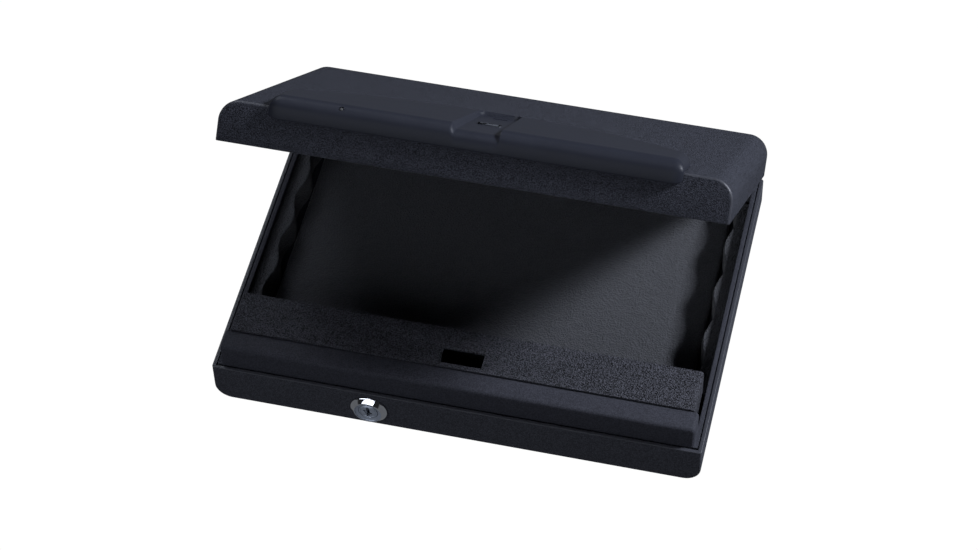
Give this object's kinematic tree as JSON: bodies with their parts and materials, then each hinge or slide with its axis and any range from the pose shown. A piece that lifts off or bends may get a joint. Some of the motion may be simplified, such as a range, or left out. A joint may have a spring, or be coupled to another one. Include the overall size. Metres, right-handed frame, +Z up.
{
  "type": "portable car safe",
  "caption": "Flat steel clamshell safe with a rear hinge, a key lock and sliding latch bolt in the base, foam lining and a moulded lid cover with a finger bay.",
  "frame": {"origin": "centre of the base shell's underside, on the surface that the safe stands on", "axes": "+Z up, +X to the right seen from the lock side, +Y towards the hinge at the back"},
  "size_m": [0.28, 0.2215, 0.1848],
  "materials": {
    "shell_steel": "fine-grained black powder coat",
    "plate_steel": "coarse-grained black powder coat",
    "cover_plastic": "satin moulded, dark blue-grey",
    "tray_plastic": "matt black",
    "foam": "open-cell charcoal foam",
    "lock_chrome": "polished",
    "plug_metal": "turned and satin",
    "zinc": "bright zinc plate",
    "coil_wire": "varnished winding",
    "board": "green solder mask",
    "battery": "plain printed jacket",
    "sensor": "smooth dark glass-like strip",
    "lamp": "dark lens, unlit"
  },
  "bodies": {
    "base": {"base_shell": "shell_steel", "inner_frame": "shell_steel", "latch_cover": "plate_steel", "latch_cover_screw_1": "zinc", "latch_cover_screw_2": "zinc", "latch_cover_screw_3": "zinc", "floor_foam": "foam", "left_foam": "foam", "right_foam": "foam", "rear_foam": "foam", "lock_body": "lock_chrome", "lock_nut": "zinc", "bolt_guide": "zinc", "guide_screw_upper": "zinc", "guide_screw_lower": "zinc", "solenoid_frame": "zinc", "solenoid_coil": "coil_wire", "board_tray": "tray_plastic", "circuit_board": "board", "battery_1": "battery", "battery_2": "battery", "battery_3": "battery", "battery_4": "battery", "hinge_base_leaf": "shell_steel", "hinge_pin": "zinc", "base_rivet_1": "shell_steel", "base_rivet_2": "shell_steel", "base_rivet_3": "shell_steel", "base_rivet_4": "shell_steel"},
    "key_plug": {"key_plug": "plug_metal", "lock_cam": "zinc", "cam_screw": "zinc"},
    "bolt": {"latch_bolt": "zinc", "solenoid_plunger": "zinc", "bolt_spring": "zinc"},
    "lid": {"lid_shell": "shell_steel", "lid_foam": "foam", "striker": "zinc", "striker_screw_1": "zinc", "striker_screw_2": "zinc", "hinge_lid_leaf": "shell_steel", "lid_rivet_1": "shell_steel", "lid_rivet_2": "shell_steel", "lid_rivet_3": "shell_steel", "lid_rivet_4": "shell_steel", "front_cover": "cover_plastic", "cover_screw_1": "zinc", "cover_screw_2": "zinc", "cover_screw_3": "zinc", "cover_screw_4": "zinc", "swipe_sensor": "sensor", "sensor_board": "board", "status_lamp": "lamp"}
  },
  "joints": [
    {"name": "lid_hinge", "type": "hinge", "parent": "base", "child": "lid", "pos_m": [0, 0.1037, 0.0274], "axis": [-1, 0, 0], "range_deg": [-41.5, 53.5]},
    {"name": "key_turn", "type": "hinge", "parent": "base", "child": "key_plug", "pos_m": [-0.049, -0.09, 0.014], "axis": [0, 1, 0], "range_deg": [0, 90]},
    {"name": "bolt_slide", "type": "slide", "parent": "base", "child": "bolt", "axis": [1, 0, 0], "range_m": [0, 0.0099], "deforming": ["bolt_spring"]}
  ],
  "couplings": [
    {"joint": "key_turn", "follows": "bolt_slide", "rad_per_m": 158.6}
  ]
}
